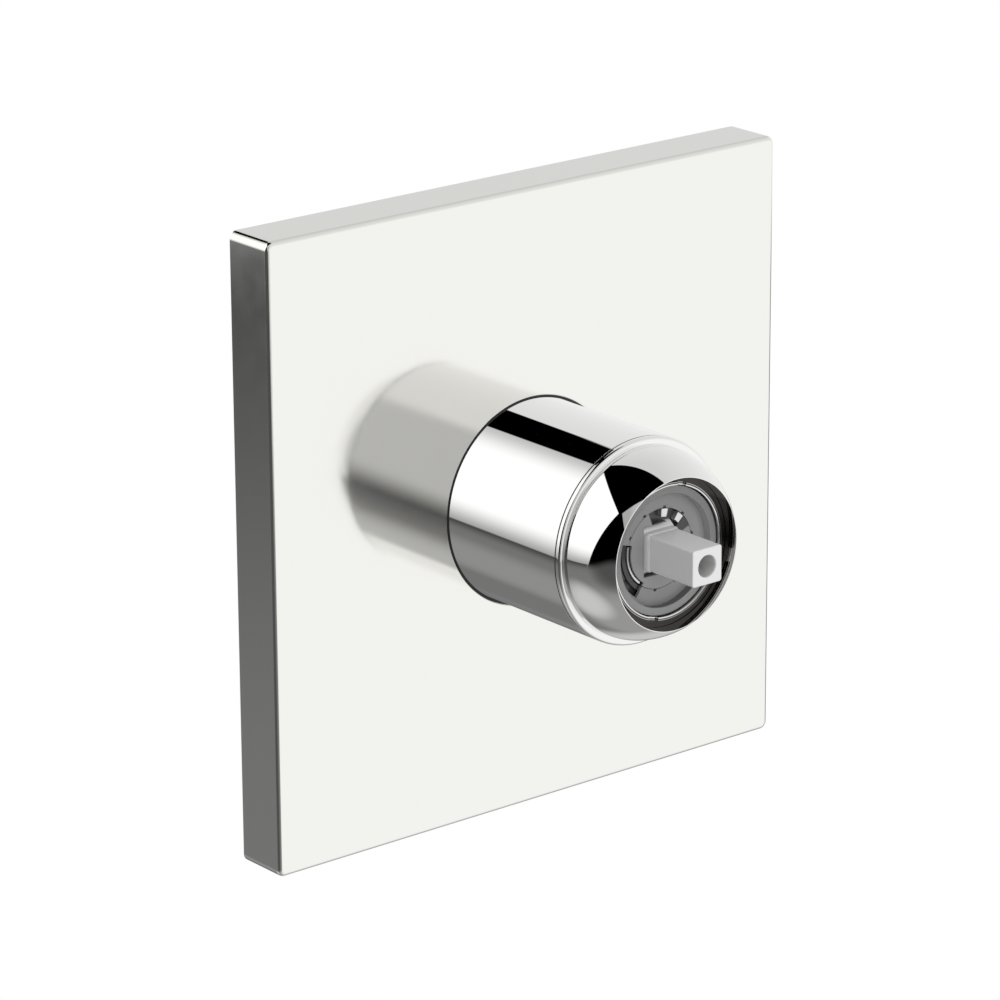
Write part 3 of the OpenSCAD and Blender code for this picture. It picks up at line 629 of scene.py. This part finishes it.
seal_r, seal_back, seal_front = extent("sleeve_seal")
seal_bore = bore_of("sleeve_seal")
seal_foot_front = 12.65
seal_round = 0.15
seal_lip_w = 0.64
seal_lip_root = 0.1
seal_lip_round = seal_lip_w / 2 - 0.01
seal = turned("sleeve_seal_lip", rounded_outline([
    (seal_bore, seal_back, seal_round),
    (seal_r, seal_back, seal_round),
    (seal_r, seal_foot_front, seal_round),
    (seal_bore + seal_lip_w, seal_foot_front, seal_lip_root),
    (seal_bore + seal_lip_w, seal_front, seal_lip_round),
    (seal_bore, seal_front, seal_lip_round),
], steps=8))
seal.data.materials.append(black_rubber)
seal.visible_glossy = False
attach(seal, "mixer")
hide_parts("sleeve_seal")


# Sleeve: drawn brass tube, chromed outside. It slides over the body's snout on two rubber rings and
# covers everything between the plate and the cap.
chrome_sleeve = polished_chrome("chrome_sleeve", 0.012, 0.02)
sleeve_r, sleeve_back, sleeve_front = extent("sleeve")
sleeve_bore = bore_of("sleeve")
sleeve_round = 0.1
sleeve_back_round = 0.15
sleeve_front_round = 0.05
chamfer_deep = 1.5
chamfer_wide = 0.6
sleeve = turned("sleeve_tube", rounded_outline([
    (sleeve_bore, sleeve_front, sleeve_round),
    (sleeve_bore, sleeve_back + chamfer_deep, sleeve_round),
    (sleeve_bore + chamfer_wide, sleeve_back, sleeve_round),
    (sleeve_r, sleeve_back, sleeve_back_round),
    (sleeve_r, sleeve_front, sleeve_front_round),
]))
sleeve.data.materials.append(chrome_sleeve)
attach(sleeve, "mixer")
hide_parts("sleeve")


# Rubber rings: two rings of black rubber in grooves round the body's snout, under the sleeve.
# They centre the sleeve and keep it from rattling.
dress("sleeve_rings", black_rubber)


# Trim ring: a narrow ring with a rounded shoulder, turned from brass and chromed. It is trapped
# between sleeve and cap: the cap closes on it with a hairline joint, and a black washer lies
# between it and the sleeve.
chrome_trim = polished_chrome("chrome_trim", 0.015, 0.03)
trim_r, trim_back, trim_front = extent("trim_ring")
trim_bore = bore_of("trim_ring")
trim_bore_round = 0.1
trim_back_round = 0.05
trim_shoulder = 0.8
trim = turned("trim_ring_turned", rounded_outline([
    (trim_bore, trim_front, trim_bore_round),
    (trim_bore, trim_back, trim_bore_round),
    (trim_r, trim_back, trim_back_round),
    (trim_r, trim_front, trim_shoulder),
], steps=10))
trim.data.materials.append(chrome_trim)
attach(trim, "mixer")
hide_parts("trim_ring")

# the washer keeps the two chromed edges apart
washer_bore = trim_bore + 0.05
washer_r = sleeve_r - 0.08
washer_back = sleeve_front + 0.01
washer_front = trim_back - 0.01
washer_round = 0.02
washer = turned("trim_washer", rounded_outline([
    (washer_bore, washer_front, washer_round),
    (washer_bore, washer_back, washer_round),
    (washer_r, washer_back, washer_round),
    (washer_r, washer_front, washer_round),
], steps=2))
washer.data.materials.append(black_rubber)
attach(washer, "mixer")


# Dome cap: turned from brass bar and chromed inside and out. Its skirt screws onto the snout, and
# its round opening leaves the cartridge's face and the spindle free.
_, skirt_back, opening_out = extent("dome_cap")
dome_r = 23
dome_centre = 50.5
dome_back = 53.1
arc_lift = 0.06
opening_r = 17.86
opening_round = 0.05
lip_edge_r = 18.0
lip_depth = 3.6
lip_round = 0.1
cap_bore_r = 19.18
bore_round = 0.12
skirt_out_r = 22.65
skirt_in_r = 21.35
skirt_end = 53.268
skirt_round = 0.2
skirt_root_round = 0.02
foot_r = sqrt(dome_r ** 2 - (dome_back - dome_centre) ** 2)
foot_back = trim_front + 0.03
foot_round = 0.05
corner_steps = 6
inner_side = rounded_outline([
    (opening_r, opening_out, opening_round),
    (opening_r, opening_out - lip_depth, bore_round),
    (cap_bore_r, opening_out - lip_depth, bore_round),
    (cap_bore_r, skirt_end, bore_round),
    (skirt_in_r, skirt_end, bore_round),
    (skirt_in_r, skirt_back, skirt_round),
    (skirt_out_r, skirt_back, skirt_round),
    (skirt_out_r, foot_back, skirt_root_round),
    (foot_r, foot_back, foot_round),
    (foot_r, opening_out, foot_round),
], corner_steps)
# the last corner only gives the foot its direction: the dome's arc stands in its place
inner_side = inner_side[:-corner_steps - 1]
arc_steps = 48
lip_steps = 6
first_turn = asin((dome_back + arc_lift - dome_centre) / dome_r)
last_turn = acos(lip_edge_r / dome_r) - lip_round / dome_r
arc = []
for step in range(arc_steps + 1):
    turn = first_turn + (last_turn - first_turn) * step / arc_steps
    arc.append((dome_r * cos(turn), dome_centre + dome_r * sin(turn), cos(turn), sin(turn)))
for step in range(1, lip_steps + 1):
    turn = last_turn + (pi / 2 - last_turn) * step / lip_steps
    lip_out = dome_centre + dome_r * sin(last_turn) + lip_round * (sin(turn) - sin(last_turn))
    arc.append((
        dome_r * cos(last_turn) + lip_round * (cos(turn) - cos(last_turn)),
        min(opening_out, lip_out), cos(turn), sin(turn),
    ))
dome = turned("dome_cap_turned", inner_side + arc, segments=288)
chrome_cap = polished_chrome("chrome_cap", 0.012, 0.02)
dome.data.materials.append(chrome_cap)
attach(dome, "mixer")
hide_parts("dome_cap")


# Retaining nut: a chromed brass ring screwed into the snout. Its flange presses on the cartridge's
# shoulder, and four slots in its thin rim take the key.
def own_place(tree):
    """The X, Y and Z of each point of the piece, in metres."""
    here = tree.nodes.new("ShaderNodeSeparateXYZ")
    tree.links.new(tree.nodes.new("ShaderNodeTexCoord").outputs["Object"], here.inputs[0])
    return here.outputs


def off_axis(tree):
    """Distance of each point from the control axis, in mm."""
    here = own_place(tree)
    flat = tree.nodes.new("ShaderNodeCombineXYZ")
    tree.links.new(here["X"], flat.inputs["X"])
    tree.links.new(here["Z"], flat.inputs["Z"])
    length = tree.nodes.new("ShaderNodeVectorMath")
    length.operation = "LENGTH"
    tree.links.new(flat.outputs[0], length.inputs[0])
    return calc(tree, "MULTIPLY", length.outputs["Value"], 1 / mm)


# its rim is left bright in two fine lines: one up to 15.7 mm from the axis, and a duller one from
# 15.95 to 16.13 mm; the rest, with the flange under it, is painted dark as painted shade deep in the
# cap
chrome_nut, tree, shader = new_material("chrome_nut")
radius = off_axis(tree)
inner_line = ramp(tree, radius, 15.66, 15.74, 1, 0)
outer_line = all_of(tree, ramp(tree, radius, 15.92, 15.98), ramp(tree, radius, 16.1, 16.16, 1, 0))
bright = any_of(tree, inner_line, calc(tree, "MULTIPLY", outer_line, 0.5))
# the dark tone is painted shade, the bright one the chrome's own
colour(tree, shader, bright, (0.06, 0.057, 0.053), (0.8, 0.8, 0.79))
shader.inputs["Metallic"].default_value = 1
smears = speckle(tree, 350)
shine(tree, shader, smears, 0.05, 0.12)
relief(tree, shader, smears, 0.05, 0.00002, 0.1)
dress("cartridge_nut", chrome_nut)


# Limit ring: moulded grey plastic, snapped on the cartridge's face. It has a raised rim, small teeth
# round the crater, and a window through which the turret's stop is seen.
def where(tree, axis):
    """A coordinate of each point, in mm; along Y it is the distance out of the wall."""
    return calc(tree, "MULTIPLY", own_place(tree)[axis], -1 / mm if axis == "Y" else 1 / mm)


def flow_marks(tree):
    """The faint clouds that plastic shows where it flowed in the mould."""
    return speckle(tree, 120, 4)


def moulded_grain(tree, shader, edge_round, grain=1800):
    """The fine grain of a mould, with edges rounded by the given mm."""
    relief(tree, shader, speckle(tree, grain, 2), 0.12, 0.00003, edge_round)


# the face is painted paler on the right, as painted light; the rim stands from 59.1 to 60.9 mm out of
# the wall, and on its lower half the crown is painted paler and the inner side darker, and on its
# upper half the other way round, as painted light and shade
limit_plastic, tree, shader = new_material("limit_plastic")
face_tone = mix(tree, "Color", flow_marks(tree), (0.255, 0.255, 0.258), (0.28, 0.28, 0.283))
right_side_painted_light = ramp(tree, where(tree, "X"), 8, 15)
face_tone = mix(tree, "Color", right_side_painted_light, face_tone, (0.35, 0.35, 0.353))
out = where(tree, "Y")
rim_side = all_of(
    tree, ramp(tree, out, 59.0, 59.2), ramp(tree, out, 60.8, 60.95, 1, 0),
    ramp(tree, off_axis(tree), 13.6, 13.5))
crown = ramp(tree, out, 60.8, 60.95)
low_half_painted_light_and_shade = ramp(tree, where(tree, "Z"), 5, -12)
rim_side_painted_light_and_shade = mix(tree, "Color", low_half_painted_light_and_shade, (0.42, 0.42, 0.423), (0.145, 0.145, 0.148))
crown_painted_light_and_shade = mix(tree, "Color", low_half_painted_light_and_shade, (0.225, 0.225, 0.228), (0.28, 0.28, 0.283))
colour(tree, shader, crown, mix(tree, "Color", rim_side, face_tone, rim_side_painted_light_and_shade), crown_painted_light_and_shade)
shine(tree, shader, speckle(tree, 400), 0.38, 0.5)
moulded_grain(tree, shader, 0.3)
dress("limit_ring", limit_plastic)


# Turret: moulded mid-grey guide that turns with the spindle. Its cover closes the crater, with a
# slot for the spindle's tilt, a groove under the limit ring's window and a well beside the spindle.
turret_plastic, tree, shader = new_material("turret_plastic")
# the cover, 58.6 mm out of the wall and more, is left rough from the mould; beside the lugs, between
# two turns and outside the spindle's foot, and all below the cover, the turret is glossy and painted
# dark as painted shade
lug_turn = calc(tree, "DEGREES", calc(tree, "ARCTAN2", where(tree, "Z"), where(tree, "X")))
painted_shade_by_lugs = all_of(
    tree, ramp(tree, lug_turn, 22, 24), ramp(tree, lug_turn, 112, 110),
    ramp(tree, off_axis(tree), 5.7, 5.9))
on_cover = ramp(tree, where(tree, "Y"), 58.45, 58.75)
rough_not_painted_dark = all_of(tree, on_cover, calc(tree, "SUBTRACT", 1.0, painted_shade_by_lugs))
cover_tone = mix(tree, "Color", flow_marks(tree), (0.28, 0.28, 0.283), (0.31, 0.31, 0.313))
# the dark tone is painted shade
colour(tree, shader, rough_not_painted_dark, (0.05, 0.05, 0.052), cover_tone)
tree.links.new(ramp(tree, rough_not_painted_dark, 0, 1, 0.16, 0.42), shader.inputs["Roughness"])
moulded_grain(tree, shader, 0.15)
dress("turret", turret_plastic)


# Bright strip and lugs: nickel-plated spring steel, stamped and pressed into the turret's cover.
# They lie open in the crater, where they catch the light.
bright_steel, tree, shader = new_material("bright_steel")
streaks = speckle(tree, 700)
colour(tree, shader, streaks, (0.78, 0.78, 0.77), (0.9, 0.9, 0.89))
shader.inputs["Metallic"].default_value = 0.85
shine(tree, shader, streaks, 0.28, 0.4)
relief(tree, shader, streaks, 0.1, 0.00003, 0.12)
dress("turret_ring", bright_steel)


# Spindle: moulded white acetal, square so that it drives the handle, with a screw hole in its end.
# Its round hub tilts on the pin, and the ball at its inner end pushes the ceramic disc's slider.
hole_back = 65
hole_r = 2.85
narrow_hole_r = 2.6
hole_slack = 0.02
edge_width = 0.24
sharp_angle = radians(32)


def narrower_hole(point):
    """Draws the screw hole's wall in, so that its rounded mouth has the hole's size."""
    away = sqrt(point.x ** 2 + point.z ** 2)
    if -point.y > hole_back * mm and abs(away - hole_r * mm) < hole_slack * mm:
        share = narrow_hole_r * mm / away
        return Vector((point.x * share, point.y, point.z * share))
    return point


def fitted(piece, body, node, finish):
    """Gives a finished piece its material, its body and the node that it stands for."""
    piece.data.materials.append(finish)
    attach(piece, body)
    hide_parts(node)


spindle_plastic, tree, shader = new_material("spindle_plastic")
acetal = mix(tree, "Color", flow_marks(tree), (0.83, 0.835, 0.83), (0.85, 0.855, 0.85))
# the wall of the screw hole is painted darker, as painted shade in the hole
hole_wall_painted_shade = all_of(
    tree, ramp(tree, off_axis(tree), 2.8, 2.65), ramp(tree, where(tree, "Y"), 74.9, 74.2))
colour(tree, shader, hole_wall_painted_shade, acetal, (0.62, 0.62, 0.615))
shine(tree, shader, speckle(tree, 400), 0.3, 0.42)
moulded_grain(tree, shader, 0.0, 900)

# the node's loose triangles are joined into flat faces before their edges are broken
mesh = nodes["spindle"].data.copy()
mesh.name = "spindle_moulded"
shape = bmesh.new()
shape.from_mesh(mesh)
bmesh.ops.remove_doubles(shape, verts=shape.verts, dist=0.004 * mm)
bmesh.ops.dissolve_limit(
    shape, angle_limit=radians(0.3), verts=shape.verts, edges=shape.edges, delimit={"NORMAL"})
for point in shape.verts:
    point.co = narrower_hole(point.co)
for face in shape.faces:
    face.smooth = True
shape.to_mesh(mesh)
shape.free()
spindle = in_scene("spindle_moulded", mesh)
if mesh.attributes.get("custom_normal"):
    mesh.attributes.remove(mesh.attributes["custom_normal"])
mesh.materials.clear()
mesh.set_sharp_from_angle(angle=sharp_angle)
edges = spindle.modifiers.new("edges", "BEVEL")
edges.width = edge_width * mm
edges.segments = 3
edges.limit_method = "ANGLE"
edges.angle_limit = sharp_angle
edges.use_clamp_overlap = False
edges.harden_normals = True
edges.miter_outer = "MITER_ARC"
bake_modifiers(spindle)
fitted(spindle, "lever", "spindle", spindle_plastic)

# round the foot the hub is a drum about the tilting axis, so that it closes the cover's slot
drum_r = 6.8
drum_half = 4.55
drum_bore_r = 2
drum_round = 0.35
drum_segments = 72
pivot_out = 53.618
profile = [(-drum_half, drum_bore_r), (-drum_half, drum_r - drum_round)]
for turn in (radians(30), radians(60), pi / 2):
    profile.append((-drum_half + drum_round * (1 - cos(turn)), drum_r - drum_round * (1 - sin(turn))))
profile += [(-x, r) for x, r in reversed(profile)]
rows = []
for step in range(drum_segments):
    turn = 2 * pi * step / drum_segments
    rows.append([
        (x * mm, -(pivot_out + r * cos(turn)) * mm, r * sin(turn) * mm) for x, r in profile
    ])
drum = skinned("spindle_hub_drum", rows)
crisp(drum)
fitted(drum, "lever", "spindle", spindle_plastic)


# Pivot pin: a short rod of ground steel, pushed through the turret and the spindle's hub.
# The spindle tilts on it.
dress("pivot_pin", bright_steel)


# Cartridge: a shell, a slider and a base of moulded plastic round two lapped ceramic discs, with
# rubber rings under each inlet and outlet. It drops into the body as one unit.
def moulded(name, tone, shine_low=0.38, shine_high=0.5):
    """Plain moulded plastic: fine grain, faint flow clouds and a satin surface."""
    made, tree, shader = new_material(name)
    dark = tuple(c * 0.94 for c in tone)
    light = tuple(c * 1.06 for c in tone)
    colour(tree, shader, flow_marks(tree), dark, light)
    shine(tree, shader, speckle(tree, 400), shine_low, shine_high)
    moulded_grain(tree, shader, 0.15)
    return made


dress("cartridge_housing", moulded("housing_plastic", (0.045, 0.046, 0.05), 0.12, 0.2))
dress("disc_carrier", moulded("carrier_plastic", (0.72, 0.66, 0.52)))
dress("cartridge_base", moulded("base_plastic", (0.07, 0.07, 0.075)))

ceramic, tree, shader = new_material("ceramic")
colour(tree, shader, speckle(tree, 300), (0.83, 0.82, 0.78), (0.88, 0.87, 0.84))
shine(tree, shader, speckle(tree, 2500), 0.12, 0.25)
dress("moving_disc", ceramic)
dress("fixed_disc", ceramic)
dress("disc_seals", black_rubber)
dress("base_seals", black_rubber)


# Valve body: hot-pressed brass with machined ends. It sits in the wall behind the plate, is fixed by
# four lugs, and takes the hot, cold and mixed water pipes in its threaded ports.
cast_brass, tree, shader = new_material("cast_brass")
skin = speckle(tree, 900, 5)
colour(tree, shader, speckle(tree, 35), (0.58, 0.41, 0.17), (0.66, 0.48, 0.22))
shader.inputs["Metallic"].default_value = 1
shine(tree, shader, skin, 0.32, 0.52)
relief(tree, shader, skin, 0.22, 0.00008, 0.4)
dress("valve_body", cast_brass)
nodes["valve_body"].visible_glossy = False


# Floor: plain pale studio floor, far enough below the mixer to keep its shadow soft. The camera
# sees it white, as the backdrop is, and the chrome doesn't mirror it.
floor_half = 4
floor_height = -0.6
floor_mesh = bpy.data.meshes.new("studio_floor")
floor_mesh.from_pydata([
    (-floor_half, -floor_half, floor_height), (floor_half, -floor_half, floor_height),
    (floor_half, floor_half, floor_height), (-floor_half, floor_half, floor_height),
], [], [(0, 1, 2, 3)])
studio_floor = in_scene("studio_floor", floor_mesh)
pale, tree, shader = new_material("pale_floor")
colour(tree, shader, speckle(tree, 2), (0.88, 0.88, 0.88), (0.92, 0.92, 0.92))
shader.inputs["Roughness"].default_value = 0.9
white = tree.nodes.new("ShaderNodeEmission")
either = tree.nodes.new("ShaderNodeMixShader")
tree.links.new(tree.nodes.new("ShaderNodeLightPath").outputs["Is Camera Ray"], either.inputs[0])
tree.links.new(shader.outputs[0], either.inputs[1])
tree.links.new(white.outputs[0], either.inputs[2])
tree.links.new(either.outputs[0], tree.nodes["Material Output"].inputs["Surface"])
floor_mesh.materials.append(pale)
studio_floor.visible_glossy = False
studio_floor.visible_diffuse = False
